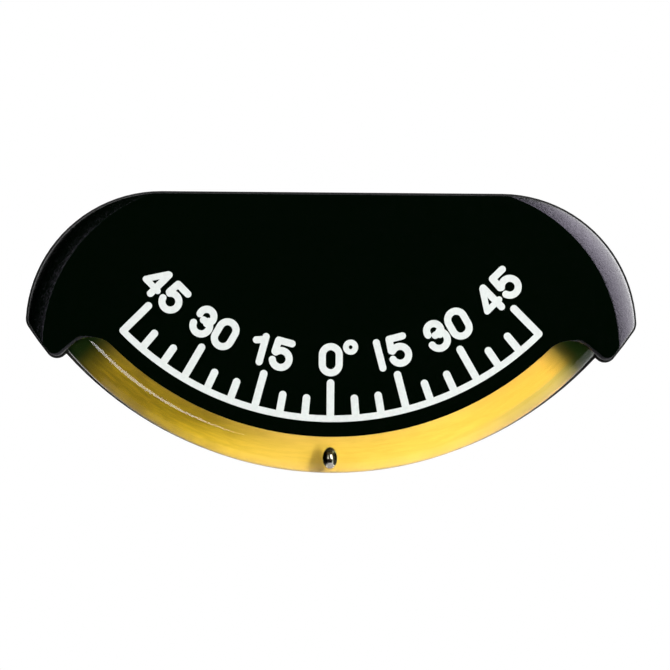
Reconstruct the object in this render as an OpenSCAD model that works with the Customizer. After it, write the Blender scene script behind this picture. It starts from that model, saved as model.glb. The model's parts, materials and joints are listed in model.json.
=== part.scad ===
// Ball clinometer: a black case with a printed arc scale over a curved, fluid-filled tube.
// X points right, Z up and the face looks toward -Y. The origin is the middle of the
// mounting pad's outer face. Inside dial(), x is right, y is up, z is the height above the
// wall, and the origin is the point about which the scale and the tube are bent.

/* [Case outline] */
// Distance from the scale's centre down to the cover's top edge
top_drop = 14.3; // [11:0.1:18]
// Radius of each round shoulder
shoulder_r = 27.3; // [24:0.1:30]
// Radius of the dial face's lower edge about the scale's centre
face_r = 63.9; // [60:0.1:68]
// Width of the ears beyond the tube
ear_margin = 3.1; // [2.5:0.1:5]
// Gap between the end cushions and the cover's side wall
side_gap = 0.7; // [0.3:0.1:3]
// Angle from the middle to the inner edge of each ear
ear_angle = 49.3; // [47:0.1:51]
// Rounding where a shoulder meets the ear's lower edge
side_corner_r = 2.6; // [1:0.1:4]
// Rounding of the ear's tip
ear_tip_r = 1.8; // [1:0.1:3]
// Fillet between an ear and the dial face's lower edge
ear_fillet_r = 5.8; // [3:0.1:7]
// Smallest rounding inside the cover's wall
inner_corner_r = 0.4; // [0.3:0.1:1]
// Width by which the back plate stands out round the cover
rim_w = 0.5; // [0.2:0.05:0.8]

/* [Case bevel] */
// Radius of the flat face's edge round each shoulder
bevel_face_r = 32.9; // [31:0.1:35]
// Width of the bevel at the side of the case
bevel_w = 3.2; // [2:0.1:4]
// Height by which the bevel's circle passes above the top edge
bevel_rise = 1.5; // [0.5:0.1:3]
// Radius of the bevel's rounded section
bevel_section_r = 9; // [8:0.25:12]
// Slope of the bevel where it leaves the flat face, in degrees
bevel_slope = 30; // [20:1:40]

/* [Case depth] */
// Wall thickness of the cover
wall = 1.8; // [1.4:0.1:2]
// Thickness of the back plate
plate_t = 2; // [1.8:0.1:3]
// Height of the locating lip on the back plate
lip_h = 1; // [0.6:0.1:1.6]
// Thickness of the locating lip
lip_t = 1; // [0.8:0.1:1.5]
// Distance from the cover's top edge down to the ends of the lip
lip_reach = 18.7; // [12:0.1:20]
// Gap between the lip and the cover's wall
lip_gap = 0.2; // [0.1:0.05:0.4]
// Thickness of the ribs that stop the tube endways
stop_rib_t = 1.2; // [0.8:0.1:2]

/* [Tube and ball] */
// Outer diameter of the tube
tube_od = 7.8; // [7:0.1:8.6]
// Width of the tube that lies under the dial face's lower edge
tube_tuck = 0.4; // [0.2:0.1:1]
// Bore of the tube
tube_bore = 4.5; // [4:0.1:5]
// Diameter of the ball
ball_d = 3.175; // [2.8:0.005:3.6]
// Gap between the ball and the bore it rolls on
ball_gap = 0.05; // [0.03:0.01:0.1]
// Gap between the fluid's solid and the bore and plugs
fluid_gap = 0.03; // [0.02:0.01:0.05]
// Gap between the tube and the cover
tube_gap = 0.3; // [0.2:0.05:0.4]
// Thickness of the yellow reflector strip
strip_t = 0.3; // [0.2:0.05:0.5]
// Gap between the strip and the tube
strip_gap = 0.1; // [0.05:0.05:0.3]
// Length by which the strip runs on under each ear
strip_tuck = 1.8; // [0.6:0.1:2.2]
// Width by which the tube overhangs the back plate's lower edge in the middle
bed_inset = 0.1; // [0:0.05:0.5]
// Height of that edge's own centre above the scale's centre, so that it shows at the sides
bed_lift = 2.3; // [0.5:0.1:3]

/* [Tube ends] */
// Length of the fluid that lies under each ear
plug_tuck = 1.3; // [0.8:0.1:2]
// Length of a plug inside the tube
plug_len = 6; // [5:0.1:7]
// Gap between a plug and the bore
plug_gap = 0.05; // [0.03:0.01:0.1]
// Diameter of a plug's flange
flange_d = 7; // [6:0.1:7.4]
// Thickness of a plug's flange
flange_t = 1.2; // [1:0.1:1.4]
// Cord diameter of a plug's sealing ring
seal_cord_d = 0.5; // [0.4:0.05:0.6]
// Distance from each end of the tube to the sealing ring
seal_inset = 2.7; // [1.5:0.1:4]
// Thickness of an end cushion
cushion_t = 1; // [0.8:0.1:1.2]
// Diameter of an end cushion
cushion_d = 6.4; // [5:0.1:6.8]
// Length of a saddle along the tube
saddle_len = 3; // [2:0.1:3.4]
// Width of a saddle across the tube
saddle_w = 9; // [8.5:0.1:9.4]
// Distance from each end of the tube to the near side of the saddle
saddle_inset = 1.1; // [0.5:0.1:1.5]
// Height of a saddle's horns below the middle of the tube
saddle_drop = 1.5; // [1:0.1:2.5]
// Gap between a saddle and the tube
saddle_gap = 0.05; // [0.03:0.01:0.1]

/* [Filling port] */
// Shank diameter of the filling screw
fill_screw_d = 1.2; // [1:0.1:1.4]
// Length of the filling screw's shank
fill_screw_len = 3.2; // [2.5:0.1:3.6]
// Head diameter of the filling screw
fill_head_d = 2.6; // [2.2:0.1:3]
// Head height of the filling screw
fill_head_h = 0.6; // [0.5:0.05:0.7]
// Thickness of the washer under the filling screw's head
fill_seal_t = 0.25; // [0.15:0.05:0.3]
// Bore of the passage behind the filling screw
fill_passage_d = 0.8; // [0.6:0.1:0.9]

/* [Fasteners] */
// Shank diameter of the cover screws
screw_d = 2.2; // [2:0.1:2.6]
// Length of the cover screws
screw_len = 8; // [6:0.5:9]
// Head diameter of the cover screws
screw_head_d = 4.2; // [3.8:0.1:4.6]
// Diameter of the bosses that take the cover screws
boss_d = 5; // [4.4:0.1:6]
// Gap round a screw and its head
screw_gap = 0.1; // [0.05:0.05:0.2]
// Gap between a boss and the nearest wall
boss_gap = 0.6; // [0.4:0.1:1.5]
// Angle round the shoulder's centre to the upper screws, from level
upper_screw_angle = 64; // [50:1:80]
// Angle from the middle to the lower screws
lower_screw_angle = 26; // [20:1:32]

/* [Mounting pad] */
// Width of the pad
pad_w = 80; // [60:1:84]
// Height of the pad
pad_h = 20; // [16:0.5:22]
// Thickness of the pad
pad_t = 1; // [0.8:0.1:1.6]
// Depth to which the pad is sunk in the back plate
pad_sink = 0.3; // [0.2:0.05:0.5]
// Corner radius of the pad
pad_corner_r = 2; // [1:0.5:4]
// Gap round the pad in its recess
pad_gap = 0.2; // [0.1:0.05:0.4]
// Distance from the scale's centre down to the pad's centre
pad_drop = 38; // [36:0.5:39]

/* [Scale] */
// Angle from the middle to each end of the scale
scale_angle = 45; // [30:15:45]
// Angle between marks
tick_step = 5; // [5:5:15]
// Angle between numbered marks
label_step = 15; // [15:15:45]
// Distance from the dial face's lower edge to the baseline
baseline_inset = 3.05; // [2:0.05:4]
// Width of the baseline
baseline_w = 1.35; // [1:0.05:2]
// Width of a mark
tick_w = 1.55; // [1:0.05:2]
// Length of a short mark, baseline included
short_tick = 5.45; // [4:0.05:7]
// Length by which a numbered mark is longer
long_tick_more = 3.3; // [2:0.1:5]
// Thickness of the print
print_t = 0.1; // [0.05:0.05:0.2]

/* [Numerals] */
// Gap between a numbered mark and its number
number_gap = 0.6; // [0.4:0.1:2]
// Height of a digit
digit_h = 6.8; // [6:0.1:7]
// Width of a round digit
digit_w = 4.9; // [4.4:0.1:5]
// Width of a digit's stroke
stroke_w = 1.45; // [1:0.05:1.6]
// Distance between the middles of two round digits
digit_pitch = 5.1; // [5:0.05:5.6]
// Distance from a narrow 1 to the next digit
narrow_pitch = 4.1; // [3.8:0.05:4.8]
// Outer diameter of the degree ring
degree_d = 3.1; // [2.4:0.1:3.4]
// Hole in the degree ring
degree_hole_d = 0.8; // [0.5:0.1:1.4]
// Distance from the middle of the 0 sideways to the degree ring
degree_x = 4.05; // [4:0.05:4.5]
// Distance from the middle of the 0 up to the degree ring
degree_y = 2.6; // [2:0.05:3]
// Shift of the inner numbers toward the middle
number_lean = 0.75; // [0:0.05:0.9]

/* [Hidden] */
$fn = 96;
CUT = 1;

// Heights above the wall
plate_back = pad_t - pad_sink;
plate_front = plate_back + plate_t;
strip_front = plate_front + strip_t;
tube_mid = strip_front + strip_gap + tube_od / 2;
inner_front = tube_mid + tube_od / 2 + tube_gap;
face_front = inner_front + wall;

// Tube, and how far round it the plugs reach
tube_r = face_r - tube_tuck + tube_od / 2;
plug_angle = ear_angle + turn_of(plug_tuck);
tube_angle = plug_angle + turn_of(plug_len);
saddle_angle = tube_angle - turn_of(saddle_inset + saddle_len / 2);

// The corner of an end cushion that comes nearest to the cover's side wall
cushion_corner = (tube_r + cushion_d / 2) * [sin(tube_angle), -cos(tube_angle)]
    + (flange_t + cushion_t) * [cos(tube_angle), sin(tube_angle)];

// Centres and tangent directions of the outline's arcs, right half
shoulder_y = -top_drop - shoulder_r;
shoulder_x = cushion_corner.x
    - sqrt(pow(shoulder_r - wall - side_gap, 2) - pow(cushion_corner.y - shoulder_y, 2));
shoulder_c = [shoulder_x, shoulder_y];
cover_w = 2 * (shoulder_x + shoulder_r);
ear_r = tube_r + tube_od / 2 + ear_margin;
ear_edge = ear_angle - 90;
ear_fillet_c = beside_edge(face_r + ear_fillet_r, -ear_fillet_r);

// Bevel
bevel_c = [cover_w / 2 - bevel_w - bevel_face_r, -top_drop + bevel_rise - bevel_face_r];
bevel_section_c = [bevel_face_r - bevel_section_r * sin(bevel_slope),
    face_front - bevel_section_r * cos(bevel_slope)];

// Tube bed and ball track
bed_r = tube_r + tube_od / 2 - bed_inset;
track_r = tube_r + tube_bore / 2 - ball_gap - ball_d / 2;
plug_d = tube_bore - 2 * plug_gap;
groove_d = plug_d - 2 * seal_cord_d;
groove_w = 1.4 * seal_cord_d;
stop_rib_w = tube_od;

// Screws
screw_head_h = (screw_head_d - screw_d) / 2;
upper_screw_c = shoulder_c + (shoulder_r - wall - boss_gap - boss_d / 2)
    * [cos(upper_screw_angle), sin(upper_screw_angle)];
lower_screw_c = (tube_r - tube_od / 2 - tube_gap - wall - boss_gap - boss_d / 2)
    * [sin(lower_screw_angle), -cos(lower_screw_angle)];

// Scale and numbers, from the dial face's lower edge inward
baseline_r = face_r - baseline_inset;
short_tick_r = baseline_r - short_tick;
long_tick_r = short_tick_r - long_tick_more;
numeral_r = long_tick_r - number_gap - digit_h / 2;

// Reach of a stroke's middle line from the middle of a digit, and of its round parts
digit_top = (digit_h - stroke_w) / 2;
bowl_r = (digit_w - stroke_w) / 2;

// Angle about the scale's centre that a length along the tube spans
function turn_of(len) = len / tube_r * 180 / PI;

// Angle of a vector, counter-clockwise from x
function direction(v) = atan2(v.y, v.x);

// Points of an arc about c, from angle a0 to a1, one about every 4 degrees
function arc(c, r, a0, a1) =
    let (n = max(2, ceil(abs(a1 - a0) / 4)))
    [for (i = [0:n]) let (a = a0 + (a1 - a0) * i / n) c + r * [cos(a), sin(a)]];

// Lower right point at distance r1 from c1 and r0 from the origin
function circles_meet(c1, r1, r0) =
    let (d = norm(c1), along = (r0 * r0 - r1 * r1 + d * d) / (2 * d),
        across = sqrt(r0 * r0 - along * along), u = c1 / d)
    along * u + across * [-u.y, u.x];

// Point at radius r whose distance from the ear's inner edge is side, positive in the ear
function beside_edge(r, side) =
    let (a = ear_edge + asin(side / r)) r * [cos(a), sin(a)];

// Right half of the case outline, clockwise from the top, moved outward by grow
function half_outline(grow) =
    let (side_r = max(side_corner_r + grow, inner_corner_r),
        tip_r = max(ear_tip_r + grow, inner_corner_r),
        side_c = circles_meet(shoulder_c, shoulder_r + grow - side_r, ear_r + grow - side_r),
        tip_c = beside_edge(ear_r + grow - tip_r, tip_r - grow))
    concat(
        arc(shoulder_c, shoulder_r + grow, 90, direction(side_c - shoulder_c)),
        arc(side_c, side_r, direction(side_c - shoulder_c), direction(side_c)),
        arc([0, 0], ear_r + grow, direction(side_c), direction(tip_c)),
        arc(tip_c, tip_r, direction(tip_c), ear_edge - 90),
        arc(ear_fillet_c, ear_fillet_r - grow, ear_edge + 90, direction(ear_fillet_c) + 180),
        arc([0, 0], face_r + grow, direction(ear_fillet_c), -90));

module outline(grow) {
    right = half_outline(grow);
    last = len(right) - 1;
    polygon(concat(right, [for (i = [last - 1:-1:0]) [-right[i].x, right[i].y]]));
}

// Places what is drawn in the dial's own frame
module dial() {
    translate([0, 0, pad_drop]) rotate([90, 0, 0]) children();
}

// Extrudes a plan shape between two heights above the wall
module rise(from, to) {
    translate([0, 0, from]) linear_extrude(to - from) children();
}

// Turns a section, drawn as [radius, height], about the scale's centre from angle a0 to a1
module bend(a0, a1) {
    rotate([0, 0, a0 - 90]) rotate_extrude(angle = a1 - a0) children();
}

// Frame at the right end of the tube: z runs out of the tube, along its centreline
module tube_end() {
    rotate([0, 0, tube_angle]) translate([0, -tube_r, tube_mid]) rotate([0, 90, 0]) children();
}

module left() {
    mirror([1, 0, 0]) children();
}

module both_sides() {
    children();
    left() children();
}

// Block with rounded shoulders and a bevelled front, moved outward by grow
module bevelled_block(grow) {
    front = face_front + grow;
    mid_w = 2 * bevel_c.x;
    translate([-mid_w / 2, -ear_r - CUT, 0])
        cube([mid_w, ear_r + CUT + bevel_c.y + bevel_face_r, front]);
    both_sides() translate(bevel_c) rotate_extrude() bevel_section(grow, front);
}

module bevel_section(grow, front) {
    intersection() {
        square([bevel_section_c.x + bevel_section_r + grow, front]);
        union() {
            square([bevel_section_c.x, front]);
            square([bevel_section_c.x + bevel_section_r + grow, bevel_section_c.y]);
            translate(bevel_section_c) circle(bevel_section_r + grow);
        }
    }
}

module at_screws() {
    both_sides() {
        translate(upper_screw_c) children();
        translate(lower_screw_c) children();
    }
}

// Space inside the cover, less the bosses and the ribs that stand in it
module cover_hollow() {
    difference() {
        intersection() {
            rise(plate_front - CUT, inner_front) outline(-wall);
            bevelled_block(-wall);
        }
        at_screws() cylinder(d = boss_d, h = face_front);
        both_sides() rotate([0, 0, tube_angle])
            translate([flange_t + cushion_t, -tube_r - stop_rib_w / 2, 0])
            cube([stop_rib_t, stop_rib_w, face_front]);
    }
}

// Channel for the tube, open toward the back plate
module tube_channel() {
    channel_w = tube_od + 2 * tube_gap;
    bend(-tube_angle, tube_angle) {
        translate([tube_r, tube_mid]) circle(d = channel_w);
        translate([tube_r - channel_w / 2, plate_front - CUT])
            square([channel_w, tube_mid - plate_front + CUT]);
    }
}

module front_cover() {
    color("#0a0c0b") dial() difference() {
        intersection() {
            rise(plate_front, face_front) outline(0);
            bevelled_block(0);
        }
        cover_hollow();
        tube_channel();
        at_screws() cylinder(d = screw_d + 2 * screw_gap, h = plate_back + screw_len + screw_gap);
    }
}

module back_plate() {
    color("#131514") dial() difference() {
        union() {
            rise(plate_back, plate_front) outline(rim_w);
            tube_bed();
            locating_lip();
        }
        translate([0, -pad_drop, 0]) rise(0, pad_t) pad_shape(pad_gap);
        at_screws() screw_shape(screw_gap);
    }
}

// Back plate's part behind the tube, between the ears
module tube_bed() {
    intersection() {
        bend(-ear_angle, ear_angle) translate([face_r - wall, plate_back])
            square([ear_r - face_r + wall, plate_t]);
        translate([0, bed_lift, 0]) cylinder(r = bed_r + bed_lift, h = plate_front + CUT);
    }
}

// Lip that seats inside the cover's upper wall
module locating_lip() {
    outer = -wall - lip_gap;
    difference() {
        intersection() {
            rise(plate_front, plate_front + lip_h) outline(outer);
            translate([-cover_w / 2, -top_drop - lip_reach, 0])
                cube([cover_w, lip_reach, face_front]);
        }
        rise(plate_front - CUT, plate_front + lip_h + CUT) outline(outer - lip_t);
        at_screws() cylinder(d = boss_d + 2 * lip_gap, h = face_front);
    }
}

// Countersunk screw from behind, or with a gap the hole that it sits in
module screw_shape(gap) {
    translate([0, 0, plate_back - gap])
        cylinder(r1 = screw_head_d / 2 + gap, r2 = screw_d / 2 + gap, h = screw_head_h);
    translate([0, 0, plate_back]) cylinder(d = screw_d + 2 * gap, h = screw_len);
}

// Screws with a cross slot
module cover_screws() {
    slot_w = screw_d / 4;
    slot_depth = screw_head_h * 0.7;
    color("#b9bcbe") dial() at_screws() difference() {
        screw_shape(0);
        for (a = [0, 90]) rotate([0, 0, a])
            translate([-screw_d / 2, -slot_w / 2, plate_back - CUT])
            cube([screw_d, slot_w, CUT + slot_depth]);
    }
}

module pad_shape(grow) {
    w = pad_w + 2 * grow;
    h = pad_h + 2 * grow;
    r = pad_corner_r + grow;
    square([w - 2 * r, h], center = true);
    square([w, h - 2 * r], center = true);
    for (x = [-1, 1], y = [-1, 1]) translate([x * (w / 2 - r), y * (h / 2 - r)]) circle(r);
}

module adhesive_pad() {
    color("#3a3a3c") dial() translate([0, -pad_drop, 0]) rise(0, pad_t) pad_shape(0);
}

module reflector_strip() {
    half = ear_angle + turn_of(strip_tuck);
    color("#f2c21c") dial() bend(-half, half) translate([face_r + strip_gap, plate_front])
        square([bed_r - face_r - 2 * strip_gap, strip_t]);
}

module tube() {
    color("#dfe8e4", 0.35) dial() bend(-tube_angle, tube_angle)
        translate([tube_r, tube_mid]) difference() {
            circle(d = tube_od);
            circle(d = tube_bore);
        }
}

// Fluid between the plugs, with the channel that the ball rolls through
module damping_fluid() {
    half = plug_angle - turn_of(fluid_gap);
    color("#d8c83c", 0.6) dial() bend(-half, half) difference() {
        translate([tube_r, tube_mid]) circle(d = tube_bore - 2 * fluid_gap);
        translate([track_r, tube_mid]) circle(d = ball_d + 2 * ball_gap);
    }
}

module ball() {
    color("#c9ccd0") dial() translate([0, -track_r, tube_mid]) sphere(d = ball_d);
}

// Frame on the tube's centreline at the sealing ring
module seal_place() {
    rotate([0, 0, tube_angle - turn_of(seal_inset)]) translate([0, -tube_r, tube_mid])
        rotate([0, 90, 0]) children();
}

module end_plug() {
    difference() {
        union() {
            bend(plug_angle, tube_angle + asin(flange_t / 2 / tube_r))
                translate([tube_r, tube_mid]) circle(d = plug_d);
            tube_end() cylinder(d = flange_d, h = flange_t);
        }
        seal_place() translate([0, 0, -groove_w / 2]) difference() {
            cylinder(d = tube_bore + CUT, h = groove_w);
            translate([0, 0, -CUT]) cylinder(d = groove_d, h = groove_w + 2 * CUT);
        }
    }
}

module plug_seal() {
    ring_r = (groove_d + seal_cord_d) / 2 + plug_gap / 2;
    seal_place() rotate_extrude() translate([ring_r, 0]) circle(d = seal_cord_d - plug_gap / 2);
}

module left_end_plug() {
    color("#1c1d1e") dial() left() end_plug();
}

// The right plug has the filling port, which runs in from the flange to the fluid
module right_end_plug() {
    seat = flange_t - fill_head_h - fill_seal_t;
    color("#1c1d1e") dial() difference() {
        end_plug();
        tube_end() {
            translate([0, 0, seat]) cylinder(d = fill_head_d + 2 * screw_gap, h = flange_t);
            translate([0, 0, seat - fill_screw_len - screw_gap])
                cylinder(d = fill_screw_d + 2 * plug_gap, h = fill_screw_len + CUT);
            translate([0, 0, -tube_r]) cylinder(d = fill_passage_d, h = tube_r);
        }
    }
}

module left_plug_seal() {
    color("#2b2b2b") dial() left() plug_seal();
}

module right_plug_seal() {
    color("#2b2b2b") dial() plug_seal();
}

module fill_screw() {
    slot_w = fill_head_d / 6;
    color("#e4e2da") dial() tube_end() difference() {
        union() {
            translate([0, 0, flange_t - fill_head_h]) cylinder(d = fill_head_d, h = fill_head_h);
            translate([0, 0, flange_t - fill_head_h - fill_seal_t - fill_screw_len])
                cylinder(d = fill_screw_d, h = fill_screw_len + fill_seal_t + fill_head_h / 2);
        }
        translate([-fill_head_d, -slot_w / 2, flange_t - fill_head_h / 2])
            cube([2 * fill_head_d, slot_w, fill_head_h]);
    }
}

module fill_seal() {
    color("#7c2f22") dial() tube_end() translate([0, 0, flange_t - fill_head_h - fill_seal_t])
        difference() {
            cylinder(d = fill_head_d, h = fill_seal_t);
            translate([0, 0, -CUT]) cylinder(d = fill_screw_d + 2 * plug_gap, h = fill_seal_t + 2 * CUT);
        }
}

// Rubber block under the tube, hollowed to the tube's own curve
module saddle() {
    top = tube_mid - saddle_drop;
    difference() {
        rotate([0, 0, saddle_angle])
            translate([-saddle_len / 2, -tube_r - saddle_w / 2, plate_front])
            cube([saddle_len, saddle_w, top - plate_front]);
        bend(ear_angle, tube_angle + CUT) translate([tube_r, tube_mid])
            circle(d = tube_od + 2 * saddle_gap);
    }
}

module left_saddle() {
    color("#333436") dial() left() saddle();
}

module right_saddle() {
    color("#333436") dial() saddle();
}

module end_cushion() {
    tube_end() translate([0, 0, flange_t]) cylinder(d = cushion_d, h = cushion_t);
}

module left_end_cushion() {
    color("#5a5b5d") dial() left() end_cushion();
}

module right_end_cushion() {
    color("#5a5b5d") dial() end_cushion();
}

// Straight stroke with round ends
module bar(p, q, w) {
    for (end = [p, q]) translate(end) circle(d = w);
    translate(p) rotate(direction(q - p)) translate([0, -w / 2]) square([norm(q - p), w]);
}

// Curved stroke with round ends
module arc_bar(c, r, a0, a1, w) {
    for (a = [a0, a1]) translate(c + r * [cos(a), sin(a)]) circle(d = w);
    intersection() {
        translate(c) difference() {
            circle(r + w / 2);
            circle(r - w / 2);
        }
        polygon(concat([c], arc(c, 3 * r, a0, a1)));
    }
}

module scale_arc() {
    color("#e6ebe7") dial() {
        bend(-scale_angle, scale_angle) translate([baseline_r - baseline_w, face_front])
            square([baseline_w, print_t]);
        for (a = [0:tick_step:scale_angle], side = sides(a)) rotate([0, 0, side * a])
            rise(face_front, face_front + print_t)
            bar([0, tick_w / 2 - baseline_r],
                [0, -tick_w / 2 - (a % label_step == 0 ? long_tick_r : short_tick_r)], tick_w);
    }
}

// The middle mark stands once and the others on both sides
function sides(a) = a == 0 ? [1] : [-1, 1];

// One digit of the scale's numbers about its own middle. A 1 has a flag or is a plain stroke
module digit(d, flag) {
    if (d == 0) digit_zero();
    if (d == 1) digit_one(flag);
    if (d == 3) digit_three();
    if (d == 4) digit_four();
    if (d == 5) digit_five();
}

module digit_zero() {
    difference() {
        long_disc(bowl_r + stroke_w / 2, digit_top - bowl_r);
        long_disc(bowl_r - stroke_w / 2, digit_top - bowl_r);
    }
}

module digit_one(flag) {
    flag_drop = 0.4 * stroke_w;
    flag_reach = 1.2 * stroke_w;
    bar([0, -digit_top], [0, digit_top], stroke_w);
    if (flag)
        bar([0, digit_top - flag_drop], [-flag_reach, digit_top - 2 * flag_drop], stroke_w);
}

module digit_three() {
    upper_r = 0.85 * bowl_r;
    waist_start = -0.15 * stroke_w;
    waist = digit_top - 2 * upper_r;
    waist_low = 2 * bowl_r - digit_top;
    waist_mid = (waist + waist_low) / 2;
    arc_bar([0, digit_top - upper_r], upper_r, -60, 188, stroke_w);
    arc_bar([0, bowl_r - digit_top], bowl_r, -172, 60, stroke_w);
    bar([waist_start, waist_mid], [bowl_r / 2, waist_mid], stroke_w);
}

module digit_four() {
    stem_x = 0.6 * bowl_r;
    cross_y = -0.48 * digit_top;
    thin_w = 0.88 * stroke_w;
    apex_x = stem_x - 0.15 * stroke_w;
    bar([stem_x, -digit_top], [stem_x, digit_top], stroke_w);
    bar([-bowl_r, cross_y], [apex_x, digit_top], thin_w);
    bar([-bowl_r, cross_y], [bowl_r, cross_y], thin_w);
}

module digit_five() {
    flag_x = 0.82 * bowl_r;
    back_foot = [-0.9 * bowl_r, 0.2 * stroke_w];
    bar([-flag_x, digit_top], [flag_x, digit_top], stroke_w);
    bar([-flag_x, digit_top], back_foot, stroke_w);
    arc_bar([0, bowl_r - digit_top], bowl_r, -162, 140, stroke_w);
}

// A number of one or two digits about its own middle
module number(n, flag) {
    tens = floor(n / 10);
    pitch = tens == 1 ? narrow_pitch : digit_pitch;
    shift = tens > 0 ? pitch / 2 : 0;
    if (tens > 0) translate([-shift, 0]) digit(tens, flag);
    translate([shift, 0]) digit(n % 10, flag);
}

// Disc of radius r drawn out upward, its end centres half away from the middle
module long_disc(r, half) {
    square([2 * r, 2 * half], center = true);
    for (y = [-half, half]) translate([0, y]) circle(r);
}

module scale_numerals() {
    color("#e6ebe7") dial() rise(face_front, face_front + print_t) {
        for (a = [0:label_step:scale_angle], side = sides(a)) rotate(side * a)
            translate([-side * number_lean * (a > 0 ? 1 - a / scale_angle : 0), -numeral_r])
            number(a, side < 0);
        translate([degree_x, degree_y - numeral_r]) difference() {
            circle(d = degree_d);
            circle(d = degree_hole_d);
        }
    }
}

front_cover();
back_plate();
scale_arc();
scale_numerals();
tube();
damping_fluid();
ball();
left_end_plug();
right_end_plug();
left_plug_seal();
right_plug_seal();
fill_screw();
fill_seal();
left_saddle();
right_saddle();
left_end_cushion();
right_end_cushion();
reflector_strip();
cover_screws();
adhesive_pad();
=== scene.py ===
"""Visible pieces of a ball clinometer, built around its CAD frame.

Lengths are in metres. The row frame has X to the right, Z up and the dial facing -Y. The
dial's own frame has its origin at the point about which the scale and tube are bent: x is
right, y is up and h is the height above the wall.
"""

import json
import math

import bmesh
import bpy
import numpy as np
from bpy.props import FloatProperty, FloatVectorProperty, IntProperty, PointerProperty
from bpy.types import Operator, Panel, PropertyGroup
from mathutils import Matrix, Vector
from mathutils.geometry import delaunay_2d_cdt


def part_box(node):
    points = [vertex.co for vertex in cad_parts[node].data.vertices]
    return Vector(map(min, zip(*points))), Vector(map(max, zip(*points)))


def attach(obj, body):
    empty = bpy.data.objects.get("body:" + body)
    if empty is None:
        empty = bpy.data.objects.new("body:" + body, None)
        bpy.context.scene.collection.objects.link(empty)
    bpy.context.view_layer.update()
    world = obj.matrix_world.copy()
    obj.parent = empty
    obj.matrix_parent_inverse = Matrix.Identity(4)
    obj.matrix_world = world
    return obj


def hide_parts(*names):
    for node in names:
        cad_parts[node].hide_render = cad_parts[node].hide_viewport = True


bl_info = {
    "name": "Ball Clinometer",
    "version": (1, 0, 0),
    "blender": (4, 5, 0),
    "location": "3D Viewport > Sidebar > Clinometer",
    "description": "Builds a ball clinometer's case, tube and finishes around its CAD frame",
    "category": "Add Mesh",
}

MM = 0.001

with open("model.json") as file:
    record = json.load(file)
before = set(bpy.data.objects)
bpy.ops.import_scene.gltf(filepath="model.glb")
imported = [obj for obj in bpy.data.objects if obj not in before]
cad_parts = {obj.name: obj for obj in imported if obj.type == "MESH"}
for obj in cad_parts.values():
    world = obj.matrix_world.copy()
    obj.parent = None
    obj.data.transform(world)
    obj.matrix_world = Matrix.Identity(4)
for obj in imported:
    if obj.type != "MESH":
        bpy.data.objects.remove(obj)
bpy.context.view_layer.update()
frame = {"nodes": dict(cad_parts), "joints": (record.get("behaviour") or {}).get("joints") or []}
HINGE = Vector(frame["joints"][0]["pos_m"])
PIVOT_Z = HINGE.z
TUBE_H = -HINGE.y
FACE_H = -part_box("scale_arc")[1].y
PLATE_H = -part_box("reflector_strip")[1].y

# Points of a mesh that are nearer than this become one
SAME_POINT = 1e-7
# The same where the cover's front is divided into triangles, in millimetres
SAME_CORNER = 1e-6
# An arc has at least this many steps, and a small one at most this many degrees to a step
LEAST_STEPS = 3
SMALL_ARC_STEP = 9
# The straight top needs points only this many times as far apart as the arcs do
TOP_SPACING = 8
# Edges sharper than this stay sharp, in degrees
SHARP_EDGE = 24

# Degrees that the bevel's circles span, counter-clockwise from the right
BEVEL_SPAN = (-60, 90)
# The bevel's section stops this short of upright, as a share of its radius
BEVEL_STEEPEST = 0.999
# How far past the outline a bevel's circle is kept
BEVEL_MARGIN = 0.0006
# Distances outward from the crease at which the circles lie, and their points' spacing
COVER_RINGS, COVER_RING_SPACING = [0.0003 * i for i in range(16)], 0.0006
HOLLOW_RINGS, HOLLOW_RING_SPACING = [0.0, 0.001, 0.002, 0.003], 0.0015
# Steps round a rounded edge of the cover
EDGE_STEPS = 6
# Height over which the flat face's rounding turns into the bevels' own
EDGE_BLEND = 0.0005
# An ear's inner edge starts and ends this many degrees before and after the ear's angle,
# and starts this far out from the face's edge. Each comes with what it takes to fade in.
NOTCH_BEFORE, NOTCH_BEFORE_FADE = 6.5, 2.5
NOTCH_AFTER, NOTCH_AFTER_FADE = 1.6, 1.2
NOTCH_OUT, NOTCH_OUT_FADE = 0.0015, 0.002
# Steps over the arch of the tube's channel, and along it
ARCH_STEPS, CHANNEL_STEPS = 24, 150

# Pattern to a radian along the tube. It is short, so that noise draws out into streaks.
STREAK_PULL = 0.0015
# Distances from the scale's centre between which painted shade begins on the strip's lower side
STRIP_LOWER_SHADE = (0.0677, 0.06795)
CLEAR = (1.0, 1.0, 1.0)


# Sizes and finishes


def length(name, description, default, low=0.0, high=1.0):
    """A property that holds a length in metres."""
    return FloatProperty(
        name=name,
        description=description,
        default=default,
        min=low,
        max=high,
        precision=5,
        subtype="DISTANCE",
        unit="LENGTH",
    )


def angle(name, description, degrees):
    """A property that holds an angle."""
    return FloatProperty(
        name=name,
        description=description,
        default=math.radians(degrees),
        subtype="ANGLE",
        unit="ROTATION",
    )


def amount(name, description, default, high=1.0):
    """A property that holds a plain number from 0 up."""
    return FloatProperty(
        name=name, description=description, default=default, min=0.0, max=high
    )


def colour(name, description, default):
    """A property that holds a linear colour."""
    return FloatVectorProperty(
        name=name,
        description=description,
        default=default,
        size=3,
        min=0.0,
        max=1.0,
        subtype="COLOR",
    )


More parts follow.
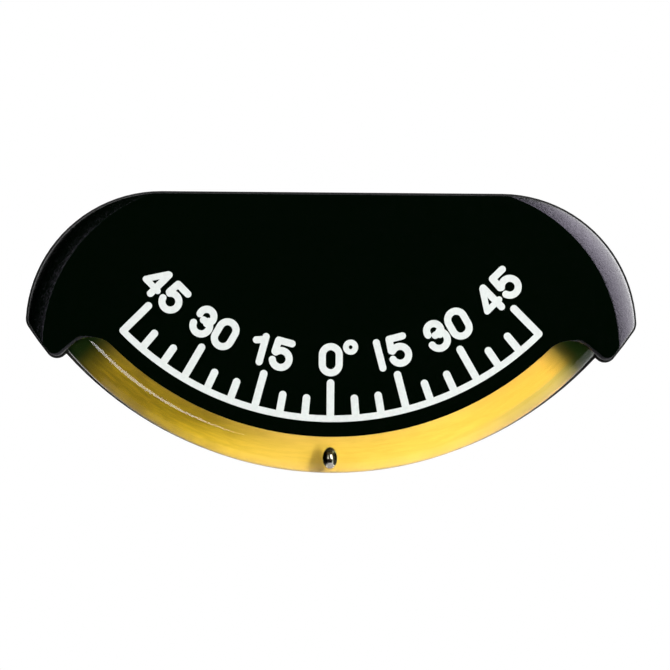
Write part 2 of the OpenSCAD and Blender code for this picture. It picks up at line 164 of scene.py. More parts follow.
class CaseSizes(PropertyGroup):
    """Sizes of the front cover."""

    top_drop: length("Top drop", "From the scale's centre down to the top edge", 0.0143)
    shoulder_x: length("Shoulder x", "Sideways place of a shoulder's centre", 0.03487)
    shoulder_r: length("Shoulder radius", "Radius of each round shoulder", 0.0273)
    face_r: length("Face radius", "Radius of the dial face's lower edge", 0.0639)
    ear_r: length("Ear radius", "Radius of the ears' lower edge", 0.0744)
    ear_angle: angle("Ear angle", "From the middle to each ear's inner edge", 49.3)
    side_corner_r: length("Side corner", "Rounding at the foot of a shoulder", 0.0026)
    ear_tip_r: length("Ear tip", "Rounding of an ear's tip", 0.0018)
    ear_fillet_r: length("Ear fillet", "Fillet beside the dial face", 0.0058)
    inner_corner_r: length("Inner corner", "Least rounding inside the wall", 0.0004)
    wall: length("Wall", "Wall thickness of the cover", 0.0018)
    edge_r: length("Edge rounding", "Rounding of the bevels' outer edges", 0.00045)
    face_edge_r: length("Face rounding", "Rounding of the flat face's edges", 0.0002)
    notch_r: length("Notch rounding", "Rounding of the ears' inner edges", 0.0012)
    bevel_w: length("Bevel width", "Width of the bevel at the side", 0.0032)
    bevel_rise: length("Bevel rise", "How far its circle passes above the top", 0.0015)
    bevel_face_r: length("Bevel radius", "Radius of the flat face's edge", 0.0329)
    bevel_section_r: length("Bevel section", "Radius of the bevel's section", 0.009)
    bevel_slope: angle("Bevel slope", "Slope where it leaves the flat face", 30)
    spacing: length("Point spacing", "Spacing of points along the outline", 0.0005)


class TubeSizes(PropertyGroup):
    """Sizes of the clear tube and what fills it."""

    tube_r: length("Bend radius", "Radius of the tube's centreline", 0.0674)
    outer_d: length("Outer diameter", "Outer diameter of the tube", 0.0078)
    bore_d: length("Bore", "Bore of the tube", 0.0045)
    gap: length("Gap", "Gap between the tube and the cover", 0.0003)
    fluid_gap: length("Fluid gap", "Gap between the fluid and the bore", 0.00003)
    end_angle: angle("End angle", "From the middle to each end", 55.5056)
    plug_angle: angle("Plug angle", "From the middle to each plug", 50.4051)
    round_steps: IntProperty(name="Steps", description="Points round it", default=96)
    bend_steps: IntProperty(name="Bend", description="Steps along it", default=160)


class Finishes(PropertyGroup):
    """Colours of the finishes."""

    case: colour("Case", "Black moulded case", (0.0001, 0.0016, 0.0002))
    plate: colour("Plate", "Back plate", (0.003, 0.003, 0.003))
    print_ink: colour("Print", "White screen print", (0.71, 0.745, 0.72))
    strip: colour("Strip", "Yellow reflector strip", (0.97, 0.62, 0.165))
    # Painted shade: a deeper yellow where the strip's left lies in shade
    strip_left_shade: colour("Strip left", "Its deeper yellow at the left", (1.0, 0.65, 0.05))
    # Painted shade: a deeper, darker yellow at the strip's right
    strip_right_shade: colour("Strip right", "Its deeper yellow at the right", (0.9, 0.51, 0.12))
    # Painted shade: the dark green of the ears' shadow on the strip's ends
    strip_ear_shade: colour("Strip ends", "Strip under the ears", (0.03, 0.07, 0.02))
    fluid: colour("Fluid", "Colour that the fluid lets through", (0.933, 0.975, 0.0))
    fluid_depth: amount("Fluid depth", "How strongly the fluid colours light", 80.0, 1000.0)
    steel: colour("Steel", "Bearing steel", (0.7, 0.67, 0.64))
    rubber: colour("Rubber", "Black rubber", (0.02, 0.02, 0.021))
    foam: colour("Foam", "Foam of the mounting pad", (0.035, 0.035, 0.037))


class StageSizes(PropertyGroup):
    """Camera, floor and light."""

    view_w: length("View width", "Width seen at the dial face", 0.137)
    view_x: length("View x", "Sideways place of the view's middle", 0.00083, -1.0)
    view_z: length("View z", "Height of the view's middle", -0.00504, -1.0)
    distance: length("Distance", "From the camera to the dial face", 3.2, 0.1, 5.0)
    roll: angle("Roll", "Turn of the camera about its own axis", 0.47)
    floor_z: length("Floor", "Height of the floor", -0.35, -1.0)
    floor_half: length("Floor reach", "How far it runs back and right", 3.0, 0.1, 10.0)
    floor_front: length("Floor front", "How far it runs before the dial", 0.2, 0.1, 10.0)
    floor_left: length("Floor left", "How far it runs to the left", 0.35, 0.1, 10.0)
    floor_grey: amount("Floor grey", "How pale the floor is to the lamps", 0.4)
    floor_glow: amount("Floor glow", "What it adds of its own to the camera", 0.8)
    side: amount("Side", "Radiance of the right soft box", 4.4, 200.0)
    high: amount("High", "Radiance of the upper right soft box", 6.0, 200.0)
    rear: amount("Rear", "Radiance of the right rear soft box", 2.6, 200.0)
    streak: amount("Streak", "Radiance of the small box above the front", 7.0, 200.0)
    strips: amount("Strips", "Radiance of the right strip light", 12.0, 200.0)
    strip_share: amount("Left strip", "What the left strip light has of that", 0.65)
    front: amount("Front", "Radiance of the front lamp", 109.0, 400.0)
    fill: amount("Fill", "Radiance of the front fill", 4.2, 200.0)


# Plain geometry


def turn_points(centre, radius, start, end, spacing):
    """Points of an arc about centre, from angle start to end in degrees."""
    centre = np.asarray(centre, float)
    turn = abs(math.radians(end - start))
    steps = max(LEAST_STEPS, math.ceil(turn * radius / spacing))
    a = np.radians(np.linspace(start, end, steps + 1))
    return centre + radius * np.stack([np.cos(a), np.sin(a)], axis=1)


def bearing(v):
    """Angle of a vector in degrees, counter-clockwise from x."""
    return math.degrees(math.atan2(v[1], v[0]))


def circles_meet(c1, r1, r0):
    """Lower right point at distance r1 from c1 and r0 from the origin."""
    c1 = np.asarray(c1, float)
    d = np.linalg.norm(c1)
    along = (r0 * r0 - r1 * r1 + d * d) / (2 * d)
    across = math.sqrt(r0 * r0 - along * along)
    u = c1 / d
    return along * u + across * np.array([-u[1], u[0]])


def case_outline(s, grow):
    """Closed outline of the case in the dial's frame, moved outward by grow."""
    edge = math.degrees(s.ear_angle) - 90

    def beside_edge(radius, side):
        a = math.radians(edge) + math.asin(side / radius)
        return radius * np.array([math.cos(a), math.sin(a)])

    shoulder = np.array([s.shoulder_x, -s.top_drop - s.shoulder_r])
    side_r = max(s.side_corner_r + grow, s.inner_corner_r)
    tip_r = max(s.ear_tip_r + grow, s.inner_corner_r)
    side = circles_meet(shoulder, s.shoulder_r + grow - side_r, s.ear_r + grow - side_r)
    tip = beside_edge(s.ear_r + grow - tip_r, tip_r - grow)
    fillet = beside_edge(s.face_r + s.ear_fillet_r, -s.ear_fillet_r)
    turn = bearing(side - shoulder)
    arcs = [
        (shoulder, s.shoulder_r + grow, 90, turn),
        (side, side_r, turn, bearing(side)),
        ((0, 0), s.ear_r + grow, bearing(side), bearing(tip)),
        (tip, tip_r, bearing(tip), edge - 90),
        (fillet, s.ear_fillet_r - grow, edge + 90, bearing(fillet) + 180),
        ((0, 0), s.face_r + grow, bearing(fillet), -90),
    ]
    parts = []
    for centre, radius, start, end in arcs:
        spacing = min(s.spacing, radius * math.radians(SMALL_ARC_STEP))
        parts.append(turn_points(centre, radius, start, end, spacing)[:-1])
    foot = np.array([[0.0, -(s.face_r + grow)]])
    top_x, top_y = parts[0][0]
    steps = max(LEAST_STEPS, math.ceil(top_x / (TOP_SPACING * s.spacing)))
    bridge = np.linspace(0.0, top_x, steps)[:-1]
    flat = np.stack([bridge, np.full_like(bridge, top_y)], axis=1)
    right = np.concatenate([flat, *parts, foot])
    left = right[1:-1][::-1] * [-1, 1]
    return np.concatenate([right, left])


def inside(points, outline):
    """Whether each point lies inside the closed outline."""
    x, y = points[:, 0], points[:, 1]
    result = np.zeros(len(points), bool)
    for (x0, y0), (x1, y1) in zip(outline, np.roll(outline, -1, axis=0)):
        if y0 == y1:
            continue
        crosses = (y0 > y) != (y1 > y)
        result ^= crosses & (x < x0 + (x1 - x0) * (y - y0) / (y1 - y0))
    return result


def depth_inside(points, outline):
    """Distance from each point to the closed outline."""
    best = np.full(len(points), np.inf)
    for a, b in zip(outline, np.roll(outline, -1, axis=0)):
        ab = b - a
        t = np.clip(((points - a) @ ab) / (ab @ ab), 0, 1)
        gap = points - a - t[:, None] * ab
        np.minimum(best, np.einsum("ij,ij->i", gap, gap), out=best)
    return np.sqrt(best)


def bevel_section(s, grow):
    """The bevel's centre, its section's radius, and that radius's centre as reach and height."""
    centre_x = s.shoulder_x + s.shoulder_r - s.bevel_w - s.bevel_face_r
    centre_y = -s.top_drop + s.bevel_rise - s.bevel_face_r
    reach = s.bevel_face_r - s.bevel_section_r * math.sin(s.bevel_slope)
    height = FACE_H - s.bevel_section_r * math.cos(s.bevel_slope)
    return (centre_x, centre_y), s.bevel_section_r + grow, reach, height


def front_height(s, points, grow):
    """Height of the bevelled front above the wall, moved outward by grow."""
    (centre_x, centre_y), radius, reach, height = bevel_section(s, grow)
    front = FACE_H + grow
    x = np.abs(points[:, 0])
    out = np.hypot(x - centre_x, points[:, 1] - centre_y) - reach
    out = np.clip(out, 0, radius * BEVEL_STEEPEST)
    slope = height + np.sqrt(radius**2 - out**2)
    return np.where(x > centre_x, np.minimum(front, slope), front)


def bevel_lines(s, grow, rings, spacing):
    """Circles of the bevel on both sides, at the rings' distances out from its crease."""
    centre, radius, reach, height = bevel_section(s, grow)
    drop = FACE_H + grow - height
    crease = reach + math.sqrt(max(radius**2 - drop**2, 0))
    lines = []
    for extra in rings:
        ring = turn_points(centre, crease + extra, *BEVEL_SPAN, spacing)
        lines += [ring, ring * [-1, 1]]
    return lines


def notch_share(s, points):
    """How far each point belongs to an ear's inner edge, from 0 to 1."""
    turn = np.abs(np.degrees(np.arctan2(points[:, 0], -points[:, 1])))
    edge = math.degrees(s.ear_angle)
    reach = np.hypot(points[:, 0], points[:, 1])
    before = np.clip((turn - edge + NOTCH_BEFORE) / NOTCH_BEFORE_FADE, 0, 1)
    after = np.clip((edge + NOTCH_AFTER - turn) / NOTCH_AFTER_FADE, 0, 1)
    out = np.clip((reach - s.face_r - NOTCH_OUT) / NOTCH_OUT_FADE, 0, 1)
    return before * after * out


def edge_radius(s, points, height, grow):
    """Radius of the front edge's rounding near each point."""
    on_bevel = np.clip((FACE_H + grow - height) / EDGE_BLEND, 0, 1)
    radius = s.face_edge_r + (s.edge_r - s.face_edge_r) * on_bevel
    return radius + (s.notch_r - radius) * notch_share(s, points)


def edge_insets(s, steps):
    """How far inside the outline the loops lie that shape the rounded edges."""
    turns = [math.pi / 2 * i / steps for i in range(1, steps + 1)]
    near = [s.edge_r * (1 - math.cos(a)) for a in turns]
    far = [s.notch_r * (1 - math.cos(a)) for a in turns]
    return near + [inset for inset in far if inset > s.edge_r]


def new_piece(name, verts, faces):
    """A mesh object in the scene."""
    mesh = bpy.data.meshes.new(name)
    mesh.from_pydata([tuple(v) for v in verts], [], faces)
    mesh.validate()
    obj = bpy.data.objects.new(name, mesh)
    bpy.context.scene.collection.objects.link(obj)
    return obj


def closed_piece(name, verts, faces):
    """A mesh object with doubled points merged and its faces turned outward."""
    obj = new_piece(name, verts, faces)
    bm = bmesh.new()
    bm.from_mesh(obj.data)
    bmesh.ops.remove_doubles(bm, verts=bm.verts, dist=SAME_POINT)
    bmesh.ops.recalc_face_normals(bm, faces=bm.faces)
    bm.to_mesh(obj.data)
    bm.free()
    return obj


def to_row(x, y, h):
    """Row-frame points of dial-frame coordinates."""
    return np.stack([x, -np.asarray(h, float), PIVOT_Z + np.asarray(y, float)], axis=-1)


def filled(outline, loops, lines):
    """Points and triangles that fill the outline, with the loops and lines as their edges.

    Each line comes with whether each of its points is kept.
    """
    points, edges = [], []
    for loop in loops:
        first = len(points)
        points += [Vector(p / MM) for p in loop]
        edges += [(first + i, first + (i + 1) % len(loop)) for i in range(len(loop))]
    for line, keep in lines:
        first = len(points)
        points += [Vector(p / MM) for p in line]
        edges += [
            (first + i, first + i + 1)
            for i in range(len(line) - 1)
            if keep[i] and keep[i + 1]
        ]
    made, _, faces, *_ = delaunay_2d_cdt(points, edges, [], 0, SAME_CORNER)
    xy = np.array([tuple(v) for v in made]) * MM
    centres = np.array([xy[list(f)].mean(axis=0) for f in faces])
    faces = [f for f, good in zip(faces, inside(centres, outline)) if good]
    used = sorted({i for f in faces for i in f})
    index = {old: new for new, old in enumerate(used)}
    return xy[used], [tuple(index[i] for i in f) for f in faces]


def bevelled_block(name, s, grow, bottom, edge_steps, rings, ring_spacing):
    """A closed block: the case outline, with the bevelled front and rounded front edges."""
    outline = case_outline(s, grow)
    insets = edge_insets(s, edge_steps)
    loops = [outline] + [case_outline(s, grow - inset) for inset in insets]
    margin = case_outline(s, grow + BEVEL_MARGIN)
    lines = [(line, inside(line, margin)) for line in bevel_lines(s, grow, rings, ring_spacing)]
    xy, tris = filled(outline, loops, lines)
    height = front_height(s, xy, grow)
    if edge_steps:
        radius = edge_radius(s, xy, height, grow)
        near = np.clip(radius - depth_inside(xy, outline), 0, radius)
        height = height - (radius - np.sqrt(radius**2 - near**2))
    n = len(xy)
    top = to_row(xy[:, 0], xy[:, 1], height)
    base = to_row(xy[:, 0], xy[:, 1], np.full(n, bottom))
    sides = dict.fromkeys(pair for f in tris for pair in zip(f, f[1:] + f[:1]))
    walls = [(b, a, a + n, b + n) for a, b in sides if (b, a) not in sides]
    under = [tuple(i + n for i in reversed(f)) for f in tris]
    return closed_piece(name, np.concatenate([top, base]), tris + walls + under)


def round_section(radius, height, r, steps):
    """Points round a circle in a (radius, height) section."""
    a = np.linspace(0, 2 * math.pi, steps, endpoint=False)
    return np.stack([radius + r * np.cos(a), height + r * np.sin(a)], axis=1)


def turned(section, a):
    """A section of (radius, height) points, at angle a about the scale's centre."""
    r, h = section[:, 0], section[:, 1]
    return to_row(r * math.sin(a), -r * math.cos(a), h)


def skinned(name, rings):
    """A closed skin over rings that have as many points each, with flat ends."""
    n = len(rings[0])
    last = (len(rings) - 1) * n
    faces = []
    for start in range(0, last, n):
        for i in range(start, start + n):
            j = start + (i + 1 - start) % n
            faces.append((i, j, j + n, i + n))
    faces.append(tuple(range(n - 1, -1, -1)))
    faces.append(tuple(range(last, last + n)))
    return closed_piece(name, np.concatenate(rings), faces)


def swept(name, section, half, steps):
    """A section turned about the scale's centre, from angle -half to half."""
    return skinned(name, [turned(section, a) for a in np.linspace(-half, half, steps + 1)])


def make_rod(t):
    """The tube's outer skin, its two end faces and the blind bores that take the plugs."""
    outer = round_section(t.tube_r, TUBE_H, t.outer_d / 2, t.round_steps)
    bore = round_section(t.tube_r, TUBE_H, t.bore_d / 2, t.round_steps)
    rings = [(bore, -t.plug_angle), (bore, -t.end_angle)]
    rings += [(outer, a) for a in np.linspace(-t.end_angle, t.end_angle, t.bend_steps + 1)]
    rings += [(bore, t.end_angle), (bore, t.plug_angle)]
    return skinned("clear_tube", [turned(section, a) for section, a in rings])


def make_channel(t):
    """What the tube's channel takes from the cover: an arch over the tube, open behind."""
    half = t.outer_d / 2 + t.gap
    behind = PLATE_H - MM
    arch = np.linspace(0, math.pi, ARCH_STEPS + 1)
    section = [(t.tube_r + half, behind)]
    section += [(t.tube_r + half * math.cos(a), TUBE_H + half * math.sin(a)) for a in arch]
    section += [(t.tube_r - half, behind)]
    return swept("channel", np.array(section), t.end_angle, CHANNEL_STEPS)


def cut(target, cutter):
    """Takes cutter away from target, and removes it."""
    mod = target.modifiers.new("cut", "BOOLEAN")
    mod.operation = "DIFFERENCE"
    mod.solver = "EXACT"
    mod.object = cutter
    depsgraph = bpy.context.evaluated_depsgraph_get()
    made = bpy.data.meshes.new_from_object(target.evaluated_get(depsgraph))
    target.modifiers.clear()
    old, target.data = target.data, made
    made.name = old.name + "_mesh"
    bpy.data.meshes.remove(old)
    bpy.data.objects.remove(cutter)


def smooth(obj):
    """Smooth shading that keeps sharp edges."""
    obj.data.shade_smooth()
    obj.data.set_sharp_from_angle(angle=math.radians(SHARP_EDGE))


# Materials


class Nodes:
    """Short ways to add nodes to a tree."""

    def __init__(self, tree):
        self.tree = tree

    def feed(self, socket, value):
        """Links an output to an input, or sets the input's plain value."""
        if isinstance(value, bpy.types.NodeSocket):
            self.tree.links.new(value, socket)
        elif socket.type == "RGBA":
            socket.default_value = (*value[:3], 1.0)
        else:
            socket.default_value = value

    def node(self, kind, inputs=None, **settings):
        """A node with its settings, and its inputs by name or number."""
        made = self.tree.nodes.new(kind)
        for key, value in settings.items():
            setattr(made, key, value)
        for key, value in (inputs or {}).items():
            self.feed(made.inputs[key], value)
        return made

    def split(self, vector):
        """A vector's parts, by the names X, Y and Z."""
        return self.node("ShaderNodeSeparateXYZ", {0: vector}).outputs

    def math(self, operation, a, b=0.0):
        """One sum on two values."""
        return self.node("ShaderNodeMath", {0: a, 1: b}, operation=operation).outputs[0]

    def times(self, a, b):
        """Two values multiplied."""
        return self.math("MULTIPLY", a, b)

    def ramp(self, value, low, high, to_low=0.0, to_high=1.0):
        """A value mapped smoothly from one range to another."""
        return self.node(
            "ShaderNodeMapRange",
            {
                "Value": value,
                "From Min": low,
                "From Max": high,
                "To Min": to_low,
                "To Max": to_high,
            },
            interpolation_type="SMOOTHSTEP",
        ).outputs["Result"]


class Shader(Nodes):
    """A material with a Principled shader, whose patterns are scaled in cells to the metre."""

    def __init__(self, name, **sockets):
        self.material = bpy.data.materials.new(name)
        self.material.use_nodes = True
        super().__init__(self.material.node_tree)
        self.bsdf = self.tree.nodes["Principled BSDF"]
        self.output = self.tree.nodes["Material Output"]
        for key, value in sockets.items():
            self.put(key, value)

    def put(self, key, value):
        """Sets or links an input of the Principled shader, as in base_color."""
        titles = {"ior": "IOR", "specular": "Specular IOR Level"}
        title = titles.get(key, key.replace("_", " ").title())
        self.feed(self.bsdf.inputs[title], value)

    def place(self):
        """The object's own coordinates, in metres."""
        return self.node("ShaderNodeTexCoord").outputs["Object"]

    def noise(self, where, scale, detail=3.0, roughness=0.6, distortion=0.0):
        """Cloudy noise from 0 to 1."""
        return self.node(
            "ShaderNodeTexNoise",
            {
                "Vector": where,
                "Scale": scale,
                "Detail": detail,
                "Roughness": roughness,
                "Distortion": distortion,
            },
        ).outputs["Fac"]

    def cells(self, where, scale):
        """Distance to the nearest edge in a pattern of uneven cells."""
        return self.node(
            "ShaderNodeTexVoronoi",
            {"Vector": where, "Scale": scale},
            feature="DISTANCE_TO_EDGE",
        ).outputs["Distance"]

    def blend(self, fac, a, b):
        """Two colours mixed."""
        made = self.node("ShaderNodeMix", {"Factor": fac}, data_type="RGBA")
        ends = [socket for socket in made.inputs if socket.type == "RGBA"]
        for socket, value in zip(ends, (a, b)):
            self.feed(socket, value)
        return next(socket for socket in made.outputs if socket.type == "RGBA")

    def bump(self, height, strength, distance):
        """A bumped normal, linked to the shader. The distance is in metres."""
        made = self.node(
            "ShaderNodeBump",
            {"Height": height, "Strength": strength, "Distance": distance},
        )
        self.put("normal", made.outputs["Normal"])

    def surface(self, fac, a, b):
        """Makes the surface a mix of two shaders."""
        mixed = self.node("ShaderNodeMixShader", {0: fac, 1: a, 2: b})
        self.feed(self.output.inputs["Surface"], mixed.outputs[0])

    def let_light_through(self):
        """Shadow rays pass straight through, so that lamps light what lies behind."""
        path = self.node("ShaderNodeLightPath")
        clear = self.node("ShaderNodeBsdfTransparent", {"Color": CLEAR})
        self.surface(path.outputs["Is Shadow Ray"], self.bsdf.outputs[0], clear.outputs[0])

    def absorb(self, colour_kept, density):
        """Volume absorption inside the piece."""
        made = self.node(
            "ShaderNodeVolumeAbsorption", {"Color": colour_kept, "Density": density}
        )
        self.feed(self.output.inputs["Volume"], made.outputs["Volume"])


def paint(obj, material):
    """Gives every material slot of an object one material."""
    slots = obj.data.materials
    if not slots:
        slots.append(material)
    for i in range(len(slots)):
        slots[i] = material


def paint_node(name, material):
    """Gives a CAD node its material."""
    paint(frame["nodes"][name], material)


def tinted(base, *factors):
    """A colour multiplied by one factor, or by a factor for each channel."""
    if len(factors) == 1:
        factors *= 3
    return [c * k for c, k in zip(base, factors)]


def dial_place(sh):
    """A shaded point's distance from the scale's centre, its angle from straight down and Y."""
    parts = sh.split(sh.place())
    drop = sh.math("SUBTRACT", PIVOT_Z, parts["Z"])
    square = sh.math("ADD", sh.times(parts["X"], parts["X"]), sh.times(drop, drop))
    return sh.math("SQRT", square), sh.math("ARCTAN2", parts["X"], drop), parts["Y"]


def case_material(colours):
    """Black moulded plastic, with a fine leather grain on the bevels and sides."""
    sh = Shader("black_grained_plastic", base_color=colours.case)
    sh.put("specular_tint", (0.86, 0.76, 1.0))
    where = sh.place()
    height = sh.times(sh.split(where)["Y"], -1.0)
    side = sh.ramp(height, FACE_H - 0.00001, FACE_H - 0.00012, 0.1, 1.0)
    cloud = sh.noise(where, 700, 4, distortion=0.8)
    folds = sh.ramp(sh.noise(where, 1700, 4, distortion=1.2), 0.35, 0.6)
    fine = sh.noise(where, 4600, 4, 0.65, 0.6)
    small = sh.math("ADD", folds, sh.times(fine, 0.5))
    grain = sh.math("ADD", sh.times(cloud, 3.5), small)
    sh.bump(sh.times(grain, side), 0.6, 0.00004)
    uneven = sh.ramp(cloud, 0.3, 0.7, 0.22, 0.3)
    satin = sh.times(uneven, sh.ramp(side, 0.1, 1.0, 0.6, 1.0))
    # What faces straight up is more matt
    facing = sh.node("ShaderNodeNewGeometry").outputs["True Normal"]
    matt = sh.ramp(sh.split(facing)["Z"], 0.97, 0.999, 0.0, 0.5)
    sh.put("roughness", sh.math("ADD", satin, matt))
    return sh.material


def plate_material(colours):
    """Satin black plastic of the back plate."""
    sh = Shader("black_satin_plastic")
    where = sh.place()
    cloud = sh.noise(where, 90, 5, 0.65)
    grain = sh.noise(where, 1900, 4)
    worn = tinted(colours.plate, 3.0)
    sh.put("base_color", sh.blend(sh.ramp(cloud, 0.35, 0.65), colours.plate, worn))
    sh.put("roughness", sh.ramp(sh.times(cloud, grain), 0.15, 0.35, 0.4, 0.7))
    sh.bump(sh.ramp(grain, 0.3, 0.7), 0.7, 0.00006)
    return sh.material


def pad_material(colours):
    """Closed-cell foam of the mounting pad, with fine open pores on its face, darkened in their
    hollows as painted shade.
    """
    sh = Shader("pad_foam", specular=0.2)
    where = sh.place()
    pores = sh.ramp(sh.cells(where, 1500), 0.02, 0.25)
    cloud = sh.noise(where, 160, 4)
    mottled = sh.blend(sh.ramp(cloud, 0.3, 0.7), tinted(colours.foam, 0.7), colours.foam)
    # Painted shade: the pores' recessed cell edges are darker
    sh.put("base_color", sh.blend(pores, tinted(colours.foam, 0.35), mottled))
    sh.put("roughness", sh.ramp(cloud, 0.3, 0.7, 0.8, 0.95))
    sh.bump(pores, 0.6, 0.00012)
    return sh.material


def screw_material():
    """Stainless steel, brushed unevenly."""
    sh = Shader("stainless", metallic=1.0)
    where = sh.place()
    cloud = sh.noise(where, 900, 4, 0.7)
    dull, bright = (0.22, 0.22, 0.23), (0.5, 0.5, 0.51)
    sh.put("base_color", sh.blend(sh.ramp(cloud, 0.3, 0.7), dull, bright))
    sh.put("roughness", sh.ramp(cloud, 0.3, 0.7, 0.2, 0.4))
    sh.bump(sh.noise(where, 5000), 0.4, 0.00002)
    return sh.material


def print_material(colours):
    """Opaque white screen print, slightly mottled."""
    sh = Shader("white_screen_print", roughness=0.55, specular=0.3)
    where = sh.place()
    thin = tinted(colours.print_ink, 0.93)
    cover = sh.ramp(sh.noise(where, 1400, 4), 0.35, 0.65)
    sh.put("base_color", sh.blend(cover, thin, colours.print_ink))
    sh.bump(sh.noise(where, 6000), 0.2, 0.00001)
    return sh.material


def strip_material(colours):
    """Yellow self-adhesive vinyl, streaked along its length, with painted shade at its left, right
    and lower side and dark green painted shade under the ears.
    """
    sh = Shader("yellow_vinyl", roughness=0.45, specular=0.3)
    radius, turn, _ = dial_place(sh)

    def between(start, end, *levels):
        return sh.ramp(turn, math.radians(start), math.radians(end), *levels)

    along = sh.times(turn, STREAK_PULL)
    lines = sh.node("ShaderNodeCombineXYZ", {0: radius, 1: along}).outputs[0]
    streaks = sh.ramp(sh.noise(lines, 7000), 0.38, 0.62)
    # Dark lengthwise streaks of grain, made stronger towards the left as painted shade
    faint = sh.times(sh.math("SUBTRACT", 1.0, streaks), between(-40, -8, 0.6, 0.2))
    # Painted shade: a deeper yellow at the strip's left and a deeper, darker yellow at its right
    left = between(-28, -5, 1.0, 0.0)
    right = between(18, 36)
    yellow = sh.blend(right, colours.strip, colours.strip_right_shade)
    yellow = sh.blend(left, yellow, colours.strip_left_shade)
    # Painted shade: a duller lower side at the strip's right
    low = sh.times(sh.ramp(radius, *STRIP_LOWER_SHADE), right)
    yellow = sh.blend(low, yellow, tinted(colours.strip_right_shade, 0.66, 0.85, 1.3))
    body = sh.blend(faint, yellow, tinted(colours.strip, 0.55, 0.5, 0.2))
    # Painted shade: the ears' shadow turns the strip dark green towards its ends
    to_ear = sh.math("ABSOLUTE", turn)
    end = sh.ramp(to_ear, math.radians(40.5), math.radians(48))
    sh.put("base_color", sh.blend(end, body, colours.strip_ear_shade))
    sh.bump(streaks, 0.1, 0.00002)
    return sh.material


def tube_material():
    """Clear drawn acrylic, with faint lines along its length."""
    sh = Shader(
        "clear_acrylic",
        base_color=CLEAR,
        roughness=0.0,
        ior=1.49,
        transmission_weight=1.0,
    )
    radius, turn, y = dial_place(sh)
    along = sh.times(turn, STREAK_PULL)
    lines = sh.node("ShaderNodeCombineXYZ", {0: radius, 1: y, 2: along}).outputs[0]
    sh.bump(sh.noise(lines, 4200), 0.45, 0.00002)
    sh.let_light_through()
    return sh.material


def fluid_material(colours):
    """Damping fluid, matched to the tube's refraction, so that only its colour shows."""
    sh = Shader(
        "damping_fluid",
        base_color=CLEAR,
        roughness=0.0,
        ior=1.0,
        transmission_weight=1.0,
    )
    sh.absorb(colours.fluid, colours.fluid_depth)
    sh.let_light_through()
    return sh.material


def steel_material(colours):
    """Polished bearing steel with hair-fine marks."""
    sh = Shader("polished_steel", base_color=colours.steel, metallic=1.0)
    marks = sh.noise(sh.place(), 2500, 4)
    sh.put("roughness", sh.ramp(marks, 0.35, 0.7, 0.05, 0.1))
    return sh.material


def plain_material(name, base, rough, bump_scale, bump_depth):
    """A simple finish with a mottled colour, and a bump of the given scale."""
    sh = Shader(name)
    where = sh.place()
    cloud = sh.noise(where, bump_scale * 0.4, 4)
    sh.put("base_color", sh.blend(sh.ramp(cloud, 0.3, 0.7), tinted(base, 0.8), base))
    sh.put("roughness", sh.ramp(cloud, 0.3, 0.7, rough * 0.9, min(rough * 1.1, 1.0)))
    sh.bump(sh.noise(where, bump_scale), 0.4, bump_depth)
    return sh.material


# Stage


def make_camera(st):
    """The camera, square to the dial."""
    data = bpy.data.cameras.new("camera")
    data.lens = data.sensor_width * st.distance / st.view_w
    data.clip_start, data.clip_end = 0.01, 20
    cam = bpy.data.objects.new("camera", data)
    bpy.context.scene.collection.objects.link(cam)
    cam.matrix_world = (
        Matrix.Translation((st.view_x, -FACE_H - st.distance, st.view_z))
        @ Matrix.Rotation(math.pi / 2, 4, "X")
        @ Matrix.Rotation(st.roll, 4, "Z")
    )
    bpy.context.scene.camera = cam
    bpy.context.scene.view_settings.view_transform = "Standard"


def make_world():
    """White to the camera and through the tube, and a white backdrop to reflections.

    The backdrop stands behind the dial, and fades out upward and to the left.
    """
    world = bpy.data.worlds.new("studio")
    bpy.context.scene.world = world
    world.use_nodes = True
    world.node_tree.nodes.clear()
    nodes = Nodes(world.node_tree)
    toward = nodes.split(nodes.node("ShaderNodeTexCoord").outputs["Generated"])
    path = nodes.node("ShaderNodeLightPath").outputs
    behind = nodes.ramp(toward["Y"], 0.3, 1.0)
    not_high = nodes.ramp(toward["Z"], 0.2, 0.7, 1.0, 0.0)
    not_left = nodes.ramp(toward["X"], -0.6, -0.1)
    backdrop = nodes.times(nodes.times(behind, not_high), not_left)
    through = nodes.times(path["Is Transmission Ray"], nodes.ramp(toward["Y"], 0.1, 0.4))
    seen = nodes.math("MAXIMUM", path["Is Camera Ray"], through)
    strength = nodes.math("MAXIMUM", seen, backdrop)
    white = nodes.node("ShaderNodeBackground", {"Color": CLEAR, "Strength": strength})
    nodes.node("ShaderNodeOutputWorld", {"Surface": white.outputs[0]})


def make_floor(st):
    """A pale floor that keeps the object's shadow, and can't be seen from below."""
    half, front, left = st.floor_half, -st.floor_front, -st.floor_left
    corners = [(left, front), (half, front), (half, half), (left, half)]
    floor = new_piece("floor", [(x, y, st.floor_z) for x, y in corners], [(0, 1, 2, 3)])
    sh = Shader("pale_floor", base_color=[st.floor_grey] * 3, roughness=0.9, specular=0.1)
    sh.put("emission_color", CLEAR)
    path = sh.node("ShaderNodeLightPath")
    sh.put("emission_strength", sh.times(path.outputs["Is Camera Ray"], st.floor_glow))
    below = sh.node("ShaderNodeNewGeometry").outputs["Backfacing"]
    clear = sh.node("ShaderNodeBsdfTransparent").outputs[0]
    sh.surface(below, sh.bsdf.outputs[0], clear)
    paint(floor, sh.material)


